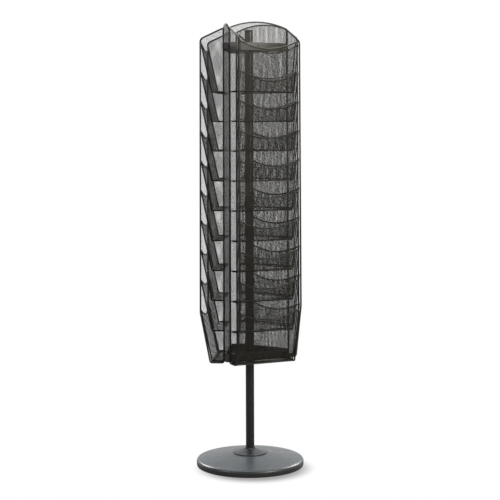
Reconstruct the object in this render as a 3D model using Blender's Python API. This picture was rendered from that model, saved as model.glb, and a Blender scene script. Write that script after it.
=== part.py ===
"""Floor-standing rotary literature display.

Three mesh racks of ten sloping pockets stand back to back in a triangle and turn
together on a pole, which is bolted to a round weighted base. The origin is on the
pole's axis at floor level, +Z is up, and the first rack faces -Y.
"""

import math

import bmesh
import bpy
from mathutils import Matrix
from mathutils import Vector

MM = 0.001
GAP = 0.3 * MM

# Racks: a plane at RACK_SEAT from the pole's axis, with depth measured outwards from it
RACK_COUNT = 3
RACK_SEAT = 86.0 * MM
RACK_HALF_WIDTH = 121.0 * MM
RACK_DEPTH = 88.0 * MM
RACK_BOTTOM = 400.5 * MM
RACK_CORNER_TOP = 1649.5 * MM
RACK_ARCH_TOP = 1673.5 * MM
RACK_FRONT_TOP = 1609.0 * MM
RACK_TAPER_TOP = 585.0 * MM
RACK_BOTTOM_DEPTH = 51.0 * MM
WIRE_RADIUS = 2.5 * MM
CROSS_WIRE_RADIUS = 2.3 * MM
SHEET = 0.6 * MM

# Pockets: floor, then a front that slopes outwards to a dipped upper edge
POCKET_COUNT = 10
POCKET_PITCH = 111.4 * MM
POCKET_FLOOR_DEPTH = 46.0 * MM
POCKET_FRONT_HEIGHT = 189.0 * MM
POCKET_DIP = 28.0 * MM
POCKET_SHEET = 0.7 * MM
POCKET_STATIONS = 12

# Brackets: triangular pans with cut corners
BRACKET_HEIGHT = 28.0 * MM
BRACKET_WALL = 3.0 * MM
BRACKET_CORNER = 148.0 * MM
TOP_BRACKET_BOTTOM = 1566.0 * MM
BOTTOM_BRACKET_BOTTOM = 403.0 * MM
STRAP_HEIGHT = 30.0 * MM
STRAP_THICKNESS = 3.0 * MM

# Pole and its bearings
POLE_RADIUS = 16.0 * MM
POLE_WALL = 2.0 * MM
POLE_BOTTOM = 20.3 * MM
POLE_JOINT = 840.0 * MM
POLE_TOP = 1645.0 * MM
CAP_HEIGHT = 5.0 * MM
BUSH_BORE = 16.4 * MM
BUSH_RADIUS = 19.6 * MM
BUSH_FLANGE_RADIUS = 25.0 * MM
BUSH_FLANGE = 3.0 * MM
BUSH_LENGTH = 22.0 * MM
COLLAR_RADIUS = 21.0 * MM
COLLAR_HEIGHT = 8.0 * MM
THRUST_WASHER = 2.0 * MM

# Base
BASE_RADIUS = 202.0 * MM
BASE_RIM_HEIGHT = 28.0 * MM
BASE_RIM_ROUND = 6.0 * MM
BASE_SKIRT_BOTTOM = 1.5 * MM
BASE_DOME_HEIGHT = 46.0 * MM
BASE_SHEET = 2.0 * MM
HUB_RADIUS = 64.0 * MM
HUB_STEP = 5.0 * MM
HUB_CONE_TOP = 61.0 * MM
HUB_TOP = 66.0 * MM
HUB_NECK_RADIUS = 19.5 * MM
BALLAST_RADIUS = 182.0 * MM
BALLAST_BOTTOM = 4.0 * MM
BALLAST_TOP = 20.0 * MM
BALLAST_RECESS_RADIUS = 30.0 * MM
BALLAST_RECESS_TOP = 13.0 * MM
FOOT_INNER_RADIUS = 150.0 * MM
FOOT_OUTER_RADIUS = 172.0 * MM

# Fasteners
BOLT_RADIUS = 4.0 * MM
BOLT_HEAD_RADIUS = 8.0 * MM
BOLT_HEAD_HEIGHT = 5.0 * MM
SCREW_RADIUS = 2.5 * MM
SCREW_HEAD_RADIUS = 4.8 * MM
SCREW_HEAD_HEIGHT = 3.0 * MM
SCREW_LENGTH = 12.0 * MM
SCREW_HOLE_RADIUS = 3.0 * MM

ROUND_STEPS = 36
SMALL_ROUND_STEPS = 16
BASE_STEPS = 56
WIRE_SIDES = 6
UP = Vector((0, 0, 1))


def clear_scene():
    for obj in list(bpy.data.objects):
        bpy.data.objects.remove(obj, do_unlink=True)


def make_material(name, colour, roughness, metallic):
    material = bpy.data.materials.new(name)
    material.use_nodes = True
    shader = material.node_tree.nodes["Principled BSDF"]
    shader.inputs["Base Color"].default_value = (*colour, 1)
    shader.inputs["Roughness"].default_value = roughness
    shader.inputs["Metallic"].default_value = metallic
    return material


def place(name, mesh, material, parent, location=(0, 0, 0)):
    """A named object of this mesh, under its parent empty."""
    obj = bpy.data.objects.new(name, mesh)
    bpy.context.scene.collection.objects.link(obj)
    obj.parent = parent
    obj.location = location
    if not mesh.materials:
        mesh.materials.append(material)
    return obj


def make_empty(name, parent=None, turn=0.0):
    obj = bpy.data.objects.new(name, None)
    bpy.context.scene.collection.objects.link(obj)
    obj.parent = parent
    obj.rotation_euler = (0, 0, turn)
    return obj


def finish_mesh(name, shape):
    """A mesh of this bmesh, with its faces pointing out and its round sides smooth."""
    bmesh.ops.recalc_face_normals(shape, faces=shape.faces)
    mesh = bpy.data.meshes.new(name)
    shape.to_mesh(mesh)
    shape.free()
    mesh.shade_smooth()
    mesh.set_sharp_from_angle(angle=math.radians(35))
    return mesh


def turned(name, outline, steps=ROUND_STEPS):
    """The solid that a closed outline of (radius, height) points sweeps round the Z axis."""
    shape = bmesh.new()
    corners = [shape.verts.new((radius, 0, height)) for radius, height in outline]
    edges = [shape.edges.new((corners[i - 1], corners[i])) for i in range(len(corners))]
    bmesh.ops.spin(shape, geom=corners + edges, axis=UP, cent=(0, 0, 0),
                   steps=steps, angle=math.tau, use_merge=True)
    bmesh.ops.remove_doubles(shape, verts=shape.verts, dist=0.01 * MM)
    bmesh.ops.dissolve_degenerate(shape, edges=shape.edges, dist=0.01 * MM)
    return finish_mesh(name, shape)


def ring(name, inner, outer, bottom, top, steps=ROUND_STEPS):
    outline = [(inner, bottom), (outer, bottom), (outer, top), (inner, top)]
    return turned(name, outline, steps)


def arc(centre, radius, start, end, steps):
    """Points along a circular arc, angles in degrees."""
    angles = [math.radians(start + (end - start) * i / steps) for i in range(steps + 1)]
    return [(centre[0] + radius * math.cos(a), centre[1] + radius * math.sin(a)) for a in angles]


def rounded(corners, radii, steps=4):
    """A closed outline through these corners, each replaced by an arc of its radius."""
    points = []
    for i, radius in enumerate(radii):
        corner = Vector(corners[i])
        before = (Vector(corners[i - 1]) - corner).normalized()
        after = (Vector(corners[(i + 1) % len(corners)]) - corner).normalized()
        half = before.angle(after) / 2
        centre = corner + (before + after).normalized() * (radius / math.sin(half))
        start = corner + before * (radius / math.tan(half))
        end = corner + after * (radius / math.tan(half))
        for k in range(steps + 1):
            outwards = (start - centre).slerp(end - centre, k / steps)
            points.append(tuple(centre + outwards.normalized() * radius))
    return points


def prism(name, outline, low, high, to_space):
    """The solid between two flat copies of an outline; to_space(a, b, level) gives a point."""
    shape = bmesh.new()
    lower = [shape.verts.new(to_space(a, b, low)) for a, b in outline]
    upper = [shape.verts.new(to_space(a, b, high)) for a, b in outline]
    shape.faces.new(lower)
    shape.faces.new(upper)
    for i in range(len(outline)):
        shape.faces.new((lower[i - 1], lower[i], upper[i], upper[i - 1]))
    return finish_mesh(name, shape)


def tube(name, path, normal, radius, closed):
    """A round wire along a flat path, mitred at its points; normal is the path's plane."""
    shape = bmesh.new()
    sections = []
    count = len(path)
    for i, point in enumerate(path):
        before = path[i - 1] if closed or i > 0 else point
        after = path[(i + 1) % count] if closed or i < count - 1 else point
        arriving = (point - before).normalized() if before is not point else (after - point).normalized()
        leaving = (after - point).normalized() if after is not point else arriving
        along = (arriving + leaving).normalized()
        across = along.cross(normal) / max(along.dot(leaving), 0.2)
        section = []
        for k in range(WIRE_SIDES):
            angle = math.tau * (k + 0.5) / WIRE_SIDES
            offset = normal * math.cos(angle) + across * math.sin(angle)
            section.append(shape.verts.new(point + offset * radius))
        sections.append(section)
    for i in range(count if closed else count - 1):
        first = sections[i]
        second = sections[(i + 1) % count]
        for k in range(WIRE_SIDES):
            shape.faces.new((first[k - 1], first[k], second[k], second[k - 1]))
    if not closed:
        shape.faces.new(sections[0])
        shape.faces.new(sections[-1])
    return finish_mesh(name, shape)


def combined(name, base, others, operation):
    """The mesh left when Booleans join the other meshes to the base mesh, or cut them from it."""
    body = bpy.data.objects.new(name, base)
    bpy.context.scene.collection.objects.link(body)
    helpers = []
    for i, other in enumerate(others):
        helper = bpy.data.objects.new(f"{name}_helper_{i}", other)
        bpy.context.scene.collection.objects.link(helper)
        modifier = body.modifiers.new(f"boolean_{i}", "BOOLEAN")
        modifier.operation = operation
        modifier.solver = "EXACT"
        modifier.object = helper
        helpers.append(helper)
    graph = bpy.context.evaluated_depsgraph_get()
    mesh = bpy.data.meshes.new_from_object(body.evaluated_get(graph))
    mesh.name = name
    for obj in [body] + helpers:
        bpy.data.objects.remove(obj, do_unlink=True)
    return mesh


# Rack space: across the rack, outwards from its seat plane, and up


def rack_point(across, depth, height):
    return Vector((across, -(RACK_SEAT + depth), height))


def side_space(depth, height, across):
    return rack_point(across, depth, height)


def back_space(across, height, depth):
    return rack_point(across, depth, height)


def side_corners():
    """Corners of a rack's side wall, as (depth, height)."""
    return [
        (0, RACK_BOTTOM),
        (RACK_BOTTOM_DEPTH, RACK_BOTTOM),
        (RACK_DEPTH, RACK_TAPER_TOP),
        (RACK_DEPTH, RACK_FRONT_TOP),
        (0, RACK_CORNER_TOP),
    ]


def arch_height(across):
    """Height of the back's arched top wire, a circular arc between the two side walls."""
    rise = RACK_ARCH_TOP - RACK_CORNER_TOP
    radius = (RACK_HALF_WIDTH**2 + rise**2) / (2 * rise)
    return RACK_ARCH_TOP - radius + math.sqrt(radius**2 - across**2)


def pocket_bottom(number):
    """Height of the underside of a pocket's floor; pocket 1 is the highest."""
    return RACK_BOTTOM + WIRE_RADIUS + GAP + (POCKET_COUNT - number) * POCKET_PITCH


def strap_heights():
    middle = BRACKET_WALL + (BRACKET_HEIGHT - BRACKET_WALL) / 2
    return [BOTTOM_BRACKET_BOTTOM + middle, TOP_BRACKET_BOTTOM + middle]


def radial_cylinder(name, radius, inner, outer, height):
    """A cylinder along a rack's depth, at the rack's centre line; inner and outer are depths."""
    outline = arc((0, height), radius, 0, 360 - 360 / SMALL_ROUND_STEPS, SMALL_ROUND_STEPS - 1)
    return prism(name, outline, inner, outer, back_space)


def frame_mesh():
    """Welded wires of one rack: two side loops, the arch, bottom cross wires and back straps."""
    outline = rounded(side_corners(), [8 * MM, 8 * MM, 40 * MM, 19 * MM, 4 * MM])
    sideways = Vector((1, 0, 0))
    loops = []
    for side in (-1, 1):
        path = [rack_point(side * RACK_HALF_WIDTH, depth, height) for depth, height in outline]
        loops.append(tube(f"side_loop_{side}", path, sideways, WIRE_RADIUS, True))
    steps = 14
    across = [RACK_HALF_WIDTH * (2 * i / steps - 1) for i in range(steps + 1)]
    arch = [rack_point(x, 0, arch_height(x)) for x in across]
    joined = [loops[1], tube("arch", arch, Vector((0, 1, 0)), CROSS_WIRE_RADIUS, False)]
    for depth in (10 * MM, RACK_BOTTOM_DEPTH - 10 * MM):
        ends = [rack_point(side * RACK_HALF_WIDTH, depth, RACK_BOTTOM) for side in (-1, 1)]
        joined.append(tube("bottom_wire", ends, UP, CROSS_WIRE_RADIUS, False))
    for middle in strap_heights():
        low = middle - STRAP_HEIGHT / 2
        high = middle + STRAP_HEIGHT / 2
        outline = [(-RACK_HALF_WIDTH, low), (RACK_HALF_WIDTH, low),
                   (RACK_HALF_WIDTH, high), (-RACK_HALF_WIDTH, high)]
        inner = -WIRE_RADIUS + 0.1 * MM
        joined.append(prism("strap", outline, inner, inner + STRAP_THICKNESS, back_space))
    frame = combined("rack_frame", loops[0], joined, "UNION")
    holes = [radial_cylinder("hole", SCREW_HOLE_RADIUS, -20 * MM, 20 * MM, height)
             for height in strap_heights()]
    return combined("rack_frame", frame, holes, "DIFFERENCE")


def tray_mesh():
    """The mesh sheet of one rack's back and side walls, inside the wires."""
    inner = WIRE_RADIUS + GAP
    half = RACK_HALF_WIDTH - WIRE_RADIUS - GAP
    bottom = RACK_BOTTOM + WIRE_RADIUS + GAP
    steps = 12
    across = [(half - 0.2 * MM) * (1 - 2 * i / steps) for i in range(steps + 1)]
    back = [(x, arch_height(x)) for x in across]
    back += [(across[-1], bottom + 0.4 * MM), (across[0], bottom + 0.4 * MM)]
    back_sheet = prism("back_sheet", back, inner, inner + SHEET, back_space)
    corners = side_corners()
    taper = (corners[2][0] - corners[1][0]) / (corners[2][1] - corners[1][1])
    start = inner + SHEET / 2
    fall = (corners[4][1] - corners[3][1]) / (corners[3][0] - corners[4][0])
    side = [
        (start, bottom),
        (corners[1][0] + taper * (bottom - RACK_BOTTOM), bottom),
        corners[2],
        corners[3],
        (start, corners[4][1] - fall * start),
    ]
    side = rounded(side, [0.5 * MM, 6 * MM, 40 * MM, 19 * MM, 0.5 * MM], steps=3)
    sheets = [prism("side_sheet", side, low, low + SHEET, side_space)
              for low in (half - SHEET, -half)]
    joined = combined("rack_tray", back_sheet, sheets, "UNION")
    holes = [radial_cylinder("hole", SCREW_HEAD_RADIUS + GAP, -20 * MM, 20 * MM, height)
             for height in strap_heights()]
    return combined("rack_tray", joined, holes, "DIFFERENCE")


def pocket_mesh():
    """One pocket, its floor's underside at height 0: a floor and a sloping front, one bent sheet."""
    half = RACK_HALF_WIDTH - WIRE_RADIUS - SHEET - 2 * GAP
    back = WIRE_RADIUS + SHEET + 2 * GAP
    top_depth = RACK_DEPTH - 1.0 * MM
    slope = (top_depth - POCKET_FLOOR_DEPTH) / POCKET_FRONT_HEIGHT
    thickness = POCKET_SHEET * math.hypot(1, slope)
    shape = bmesh.new()
    sections = []
    for i in range(POCKET_STATIONS + 1):
        across = half * (2 * i / POCKET_STATIONS - 1)
        top = POCKET_FRONT_HEIGHT - POCKET_DIP * (1 - (across / half)**2)
        outer_top = POCKET_FLOOR_DEPTH + slope * top
        inner_bend = POCKET_FLOOR_DEPTH - thickness + slope * POCKET_SHEET
        outline = [
            (back, 0),
            (POCKET_FLOOR_DEPTH, 0),
            (outer_top, top),
            (outer_top - thickness, top),
            (inner_bend, POCKET_SHEET),
            (back, POCKET_SHEET),
        ]
        sections.append([shape.verts.new(rack_point(across, d, z)) for d, z in outline])
    for first, second in zip(sections, sections[1:]):
        for k in range(len(first)):
            shape.faces.new((first[k - 1], first[k], second[k], second[k - 1]))
    shape.faces.new(sections[0])
    shape.faces.new(sections[-1])
    return finish_mesh("rack_pocket", shape)


def screw_mesh():
    """A pan-head screw through a strap into a bracket, at height 0."""
    seat = -WIRE_RADIUS + 0.1 * MM + STRAP_THICKNESS + GAP
    shank = radial_cylinder("shank", SCREW_RADIUS, seat - SCREW_LENGTH, seat + 1 * MM, 0)
    head = radial_cylinder("head", SCREW_HEAD_RADIUS, seat, seat + SCREW_HEAD_HEIGHT, 0)
    return combined("rack_screw", head, [shank], "UNION")


def triangle_with_cut_corners(inradius, corner):
    """Outline of an equilateral triangle whose corners are cut square at a distance from the centre."""
    half_side = (corner - inradius * math.cos(math.radians(60))) / math.sin(math.radians(60))
    points = []
    for k in range(RACK_COUNT):
        turn = Matrix.Rotation(math.tau * k / RACK_COUNT, 2)
        points.append(tuple(turn @ Vector((-half_side, -inradius))))
        points.append(tuple(turn @ Vector((half_side, -inradius))))
    return points


def bracket_mesh():
    """Triangular pan with its underside at height 0, a bore for the bush and a hole for each screw."""
    def flat(x, y, height):
        return Vector((x, y, height))

    inradius = RACK_SEAT - WIRE_RADIUS - GAP
    outer = triangle_with_cut_corners(inradius, BRACKET_CORNER)
    hollow = triangle_with_cut_corners(inradius - BRACKET_WALL, BRACKET_CORNER - BRACKET_WALL)
    above = BRACKET_HEIGHT + 5 * MM
    pan = prism("pan", outer, 0, BRACKET_HEIGHT, flat)
    cutters = [prism("hollow", hollow, BRACKET_WALL, above, flat)]
    bore = arc((0, 0), BUSH_RADIUS + GAP, 0, 360 - 360 / ROUND_STEPS, ROUND_STEPS - 1)
    cutters.append(prism("bore", bore, -5 * MM, above, flat))
    middle = BRACKET_WALL + (BRACKET_HEIGHT - BRACKET_WALL) / 2
    for k in range(RACK_COUNT):
        hole = radial_cylinder("hole", SCREW_HOLE_RADIUS, -20 * MM, 10 * MM, middle)
        hole.transform(Matrix.Rotation(math.tau * k / RACK_COUNT, 4, "Z"))
        cutters.append(hole)
    return combined("bracket", pan, cutters, "DIFFERENCE")


def build_rack(number, rotor, materials, meshes):
    seat = make_empty(f"rack_{number}_seat", rotor, math.tau * (number - 1) / RACK_COUNT)
    place(f"rack_{number}_frame", meshes["frame"], materials["wire"], seat)
    place(f"rack_{number}_tray", meshes["tray"], materials["mesh"], seat)
    for pocket in range(1, POCKET_COUNT + 1):
        name = f"rack_{number}_pocket_{pocket:02d}"
        place(name, meshes["pocket"], materials["mesh"], seat, (0, 0, pocket_bottom(pocket)))
    for where, height in zip(("bottom", "top"), strap_heights()):
        place(f"rack_{number}_{where}_screw", meshes["screw"], materials["screw"], seat, (0, 0, height))


def build_brackets(rotor, materials):
    mesh = bracket_mesh()
    bush = turned("bush", [
        (BUSH_BORE, -BUSH_FLANGE - GAP),
        (BUSH_FLANGE_RADIUS, -BUSH_FLANGE - GAP),
        (BUSH_FLANGE_RADIUS, -GAP),
        (BUSH_RADIUS, -GAP),
        (BUSH_RADIUS, BUSH_LENGTH),
        (BUSH_BORE, BUSH_LENGTH),
    ])
    for where, bottom in (("bottom", BOTTOM_BRACKET_BOTTOM), ("top", TOP_BRACKET_BOTTOM)):
        place(f"{where}_bracket", mesh, materials["bracket"], rotor, (0, 0, bottom))
        place(f"{where}_bush", bush, materials["plastic"], rotor, (0, 0, bottom))


def base_cover_outline():
    """Pressed cover: rolled rim, low dome, and a flat seat for the hub."""
    centre = (BASE_RADIUS - BASE_RIM_ROUND, BASE_RIM_HEIGHT - BASE_RIM_ROUND)
    seat_radius = HUB_RADIUS + 4 * MM
    skirt_radius = BASE_RADIUS - 1.5 * MM
    outside = [(skirt_radius, BASE_SKIRT_BOTTOM)]
    rim_steps = 6
    outside += arc(centre, BASE_RIM_ROUND, 0, 84, rim_steps)
    dome_steps = 4
    inner = outside[-1]
    for i in range(1, dome_steps + 1):
        part = i / dome_steps
        rise = math.sin(part * math.pi / 2) * 0.35 + part * 0.65
        radius = inner[0] + (seat_radius - inner[0]) * part
        outside.append((radius, inner[1] + (BASE_DOME_HEIGHT - inner[1]) * rise))
    hole = POLE_RADIUS + 2 * GAP
    outside.append((hole, BASE_DOME_HEIGHT))
    inside = [(hole, BASE_DOME_HEIGHT - BASE_SHEET), (seat_radius, BASE_DOME_HEIGHT - BASE_SHEET)]
    for radius, height in reversed(outside[rim_steps + 2:-2]):
        inside.append((radius, height - BASE_SHEET))
    inside += reversed(arc(centre, BASE_RIM_ROUND - BASE_SHEET, 0, 84, 3))
    inside.append((skirt_radius - BASE_SHEET, BASE_SKIRT_BOTTOM))
    return outside + inside


def build_base(stand, materials):
    place("base_cover", turned("base_cover", base_cover_outline(), BASE_STEPS), materials["base"], stand)
    bolt_hole = BOLT_RADIUS + 1.5 * MM
    ballast = turned("ballast_disc", [
        (BALLAST_RECESS_RADIUS, BALLAST_BOTTOM),
        (BALLAST_RADIUS, BALLAST_BOTTOM),
        (BALLAST_RADIUS, BALLAST_TOP),
        (bolt_hole, BALLAST_TOP),
        (bolt_hole, BALLAST_RECESS_TOP),
        (BALLAST_RECESS_RADIUS, BALLAST_RECESS_TOP),
    ])
    place("ballast_disc", ballast, materials["iron"], stand)
    foot = ring("foot_ring", FOOT_INNER_RADIUS, FOOT_OUTER_RADIUS, 0, BALLAST_BOTTOM - GAP)
    place("foot_ring", foot, materials["rubber"], stand)
    bottom = BASE_DOME_HEIGHT + GAP
    bore = POLE_RADIUS + GAP
    hub = turned("hub_flange", [
        (bore, bottom),
        (HUB_RADIUS, bottom),
        (HUB_RADIUS, bottom + HUB_STEP - 1.5 * MM),
        (HUB_RADIUS - 1.5 * MM, bottom + HUB_STEP),
        (HUB_NECK_RADIUS, HUB_CONE_TOP),
        (HUB_NECK_RADIUS, HUB_TOP - 1 * MM),
        (HUB_NECK_RADIUS - 1 * MM, HUB_TOP),
        (bore, HUB_TOP),
    ])
    place("hub_flange", hub, materials["base"], stand)
    washer_top = BALLAST_RECESS_TOP - GAP
    washer_bottom = washer_top - 1.6 * MM
    washer = ring("centre_washer", BOLT_RADIUS + GAP, BOLT_HEAD_RADIUS + 4 * MM,
                  washer_bottom, washer_top, SMALL_ROUND_STEPS)
    place("centre_washer", washer, materials["screw"], stand)
    head_top = washer_bottom - GAP
    bolt = turned("centre_bolt", [
        (0, head_top - BOLT_HEAD_HEIGHT),
        (BOLT_HEAD_RADIUS, head_top - BOLT_HEAD_HEIGHT),
        (BOLT_HEAD_RADIUS, head_top),
        (BOLT_RADIUS, head_top),
        (BOLT_RADIUS, POLE_BOTTOM + 20 * MM),
        (0, POLE_BOTTOM + 20 * MM),
    ], SMALL_ROUND_STEPS)
    place("centre_bolt", bolt, materials["screw"], stand)


def build_pole(stand, materials):
    inside = POLE_RADIUS - POLE_WALL
    lower = ring("lower_pole", inside, POLE_RADIUS, POLE_BOTTOM, POLE_JOINT)
    upper = ring("upper_pole", inside, POLE_RADIUS, POLE_JOINT + GAP, POLE_TOP)
    place("lower_pole", lower, materials["pole"], stand)
    place("upper_pole", upper, materials["pole"], stand)
    plug = inside - GAP
    insert = ring("pole_foot_insert", BOLT_RADIUS + GAP, plug, POLE_BOTTOM, POLE_BOTTOM + 30 * MM,
                  SMALL_ROUND_STEPS)
    place("pole_foot_insert", insert, materials["screw"], stand)
    connector = ring("pole_connector", plug - 3 * MM, plug, POLE_JOINT - 50 * MM, POLE_JOINT + 50 * MM)
    place("pole_connector", connector, materials["screw"], stand)
    seat = POLE_TOP + GAP
    cap = turned("pole_cap", [
        (0, POLE_TOP - 15 * MM),
        (plug, POLE_TOP - 15 * MM),
        (plug, seat),
        (POLE_RADIUS, seat),
        (POLE_RADIUS, seat + CAP_HEIGHT - 2 * MM),
        (POLE_RADIUS - 2 * MM, seat + CAP_HEIGHT),
        (0, seat + CAP_HEIGHT),
    ])
    place("pole_cap", cap, materials["plastic"], stand)


def build_support(stand, materials):
    washer_top = BOTTOM_BRACKET_BOTTOM - BUSH_FLANGE - 2 * GAP
    washer_bottom = washer_top - THRUST_WASHER
    washer = ring("thrust_washer", BUSH_BORE, BUSH_FLANGE_RADIUS - 1 * MM, washer_bottom, washer_top)
    place("thrust_washer", washer, materials["plastic"], stand)
    top = washer_bottom - GAP
    bottom = top - COLLAR_HEIGHT
    middle = (top + bottom) / 2
    bore = POLE_RADIUS + GAP
    collar = ring("support_collar", bore, COLLAR_RADIUS, bottom, top)
    hole = radial_cylinder("hole", SCREW_RADIUS + GAP, -RACK_SEAT, -RACK_SEAT + 40 * MM, middle)
    collar = combined("support_collar", collar, [hole], "DIFFERENCE")
    place("support_collar", collar, materials["pole"], stand)
    screw = radial_cylinder("collar_set_screw", SCREW_RADIUS, bore - RACK_SEAT,
                            COLLAR_RADIUS - RACK_SEAT - 0.5 * MM, middle)
    place("collar_set_screw", screw, materials["screw"], stand)


def main():
    clear_scene()
    materials = {
        "base": make_material("base_coat", (0.165, 0.195, 0.21), 0.45, 0.3),
        "pole": make_material("pole_coat", (0.02, 0.02, 0.02), 0.3, 0.2),
        "wire": make_material("wire_coat", (0.03, 0.028, 0.024), 0.4, 0.3),
        "mesh": make_material("mesh_coat", (0.035, 0.033, 0.03), 0.5, 0.3),
        "bracket": make_material("bracket_coat", (0.05, 0.05, 0.048), 0.5, 0.2),
        "iron": make_material("cast_iron", (0.08, 0.08, 0.08), 0.7, 0.8),
        "rubber": make_material("rubber", (0.015, 0.015, 0.015), 0.9, 0.0),
        "screw": make_material("zinc_plate", (0.5, 0.5, 0.5), 0.35, 1.0),
        "plastic": make_material("black_nylon", (0.02, 0.02, 0.02), 0.6, 0.0),
    }
    stand = make_empty("stand")
    build_base(stand, materials)
    build_pole(stand, materials)
    build_support(stand, materials)
    rotor = make_empty("rotor")
    build_brackets(rotor, materials)
    meshes = {
        "frame": frame_mesh(),
        "tray": tray_mesh(),
        "pocket": pocket_mesh(),
        "screw": screw_mesh(),
    }
    for number in range(1, RACK_COUNT + 1):
        build_rack(number, rotor, materials, meshes)


main()
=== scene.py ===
"""Looks for a rotary literature display: three racks of expanded-metal pockets on a pole and base.

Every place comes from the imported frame. The racks are woven here in full: wires, expanded-metal
sheets with real openings, and pockets. The pole, base, brackets and rack screws are turned or bent
again at a finer step than the frame holds them. Hidden pieces keep the frame's own shapes.
"""

import math

import bmesh
import bpy
import numpy as np
from mathutils import Matrix
from mathutils import Vector


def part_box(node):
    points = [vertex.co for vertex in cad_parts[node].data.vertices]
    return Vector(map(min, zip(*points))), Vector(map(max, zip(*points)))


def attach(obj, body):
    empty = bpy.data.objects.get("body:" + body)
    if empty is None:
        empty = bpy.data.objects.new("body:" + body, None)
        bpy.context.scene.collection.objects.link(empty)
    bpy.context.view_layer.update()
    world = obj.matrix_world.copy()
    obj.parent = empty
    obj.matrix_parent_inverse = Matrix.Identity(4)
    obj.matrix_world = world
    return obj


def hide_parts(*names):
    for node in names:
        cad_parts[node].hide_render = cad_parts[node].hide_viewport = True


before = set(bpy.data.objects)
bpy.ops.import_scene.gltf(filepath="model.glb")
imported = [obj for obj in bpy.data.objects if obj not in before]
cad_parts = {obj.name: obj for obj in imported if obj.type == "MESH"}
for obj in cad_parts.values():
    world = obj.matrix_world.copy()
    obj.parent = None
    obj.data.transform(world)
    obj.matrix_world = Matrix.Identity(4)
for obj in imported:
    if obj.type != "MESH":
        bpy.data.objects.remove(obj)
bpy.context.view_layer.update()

MM = 0.001
GAP = 0.3 * MM  # round the pole and the bushes, and between the racks and the brackets
RACK_COUNT = 3
POCKET_COUNT = 10

# Wires of a rack; the coat adds its thickness to every wire's radius
WIRE_RADIUS = 2.5 * MM
CROSS_WIRE_RADIUS = 2.3 * MM
CROSS_WIRE_INSET = 10.0 * MM
POCKET_WIRE_RADIUS = 2.1 * MM
WIRE_COATING = 0.7 * MM
ARCH_STEPS = 40

# Shape of a rack's side wall: falls and rises from its corners, and the rounds of its side loop
ARCH_RISE = 24.0 * MM
TOP_SLOPE_FALL = 40.5 * MM
TAPER_HEIGHT = 184.5 * MM
BOTTOM_DEPTH = 51.0 * MM
TOP_FRONT_ROUND = 19.0 * MM
TAPER_ROUND = 40.0 * MM
BOTTOM_ROUND = 8.0 * MM
TOP_BACK_ROUND = 4.0 * MM

# Pockets
POCKET_DIP = 28.0 * MM
POCKET_FLOOR_DEPTH = 46.0 * MM
POCKET_BEND = 3.0 * MM
POCKET_SIDE_GAP = 1.0 * MM
POCKET_BACK_GAP = 1.2 * MM
POCKET_RIM_STEPS = 32

# Expanded metal: upright diamonds (width, height), of which an inner share is open. Strands are
# twisted out of the sheet to both sides. A flat sheet is cut back from the wires' centres.
TRAY_DIAMOND = (3.05 * MM, 6.1 * MM)
POCKET_DIAMOND = (3.8 * MM, 7.6 * MM)
TRAY_OPENING_SHARE = 0.76
POCKET_OPENING_SHARE = 0.79
TRAY_TWIST = 0.13 * MM
POCKET_TWIST = 0.18 * MM
SHEET_GAP = 0.4 * MM
SHEET_INSET = 0.5 * MM

# Straps, brackets and the plugs in the brackets' cut corners
STRAP_HEIGHT = 30.0 * MM
STRAP_THICKNESS = 3.0 * MM
STRAP_INSET = 0.1 * MM
STRAP_SIDE_GAP = 1.0 * MM
STRAP_ROUND = 3.0 * MM
PLATE_EDGE = 0.6 * MM
PLATE_EDGE_ANGLE = 70.0
BRACKET_WALL = 3.0 * MM
BRACKET_BEND = 3.0 * MM
BRACKET_CORNER = 148.0 * MM
BRACKET_CORNER_ROUND = 7.0 * MM
BRACKET_LEAST_ROUND = 1.0 * MM
BRACKET_LIP = 0.6 * MM
BRACKET_FILLET = 0.5 * MM
BEND_POINTS = 6
FILLET_POINTS = 4
BRACKET_RING_STEP = 9.0 * MM
BUSH_FLANGE_WIDTH = 5.4 * MM
PLUG_SIZE = (19.0 * MM, 20.0 * MM)
PLUG_THICKNESS = 3.0 * MM
PLUG_ROUND = 2.5 * MM
PLUG_REACH = 1.5 * MM

# Screws that hold the racks; the recess is given as (radius, depth)
SCREW_CROWN = 3.0 * MM
SCREW_BRIM = 0.35
SCREW_SHANK_RADIUS = 2.5 * MM
SCREW_TIP_CUT = 0.6 * MM
SCREW_RECESS = ((1.6 * MM, 0.0), (1.2 * MM, 1.4 * MM), (0.0, 1.6 * MM))

# Pole, cap, collar and thrust washer
POLE_WALL = 2.0 * MM
CAP_GAP = 0.1 * MM
CAP_ROUND = 3.0 * MM
CAP_PLUG_INSET = 2.4 * MM
TUBE_EDGE = 0.6 * MM
COLLAR_EDGE = 0.4 * MM

# Base cover; its skirt's foot is given as (inset, rise) from the lower outer corner
BASE_SHEET = 2.0 * MM
SKIRT_FOOT = ((2.0 * MM, 0.0), (1.2 * MM, 1.0 * MM), (0.4 * MM, 4.0 * MM), (0.0, 10.0 * MM))
# How far in from the cover's outer radius the skirt's faces below the rim take the darker coat of painted
# shade
SHADED_SKIRT_DEPTH = 2.5 * MM
RIM_HEIGHT = 28.0 * MM
RIM_ROUND = 11.0 * MM
RIM_TURN = 88.0
RIM_STEPS = 14
RIM_BORDER = 16.0 * MM
BORDER_RISE = 0.5 * MM
DOME_STEPS = 24
DOME_ROUNDNESS = 0.35
HUB_SEAT_BORDER = 4.0 * MM
POLE_HOLE_GAP = 0.6 * MM

# Hub and foot ring
HUB_STEP = 3.4 * MM
HUB_EDGE = 1.4 * MM
HUB_LOWER_EDGE = 0.4 * MM
HUB_CONE_STEPS = 8
HUB_CONE_POWER = 1.2
HUB_FILLET = 3.0 * MM
HUB_NECK_RADIUS = 19.5 * MM
HUB_NECK_HEIGHT = 5.0 * MM
HUB_NECK_EDGE = 1.0 * MM
FOOT_INNER_RADIUS = 150.0 * MM
FOOT_EDGE = 0.8 * MM

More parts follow.
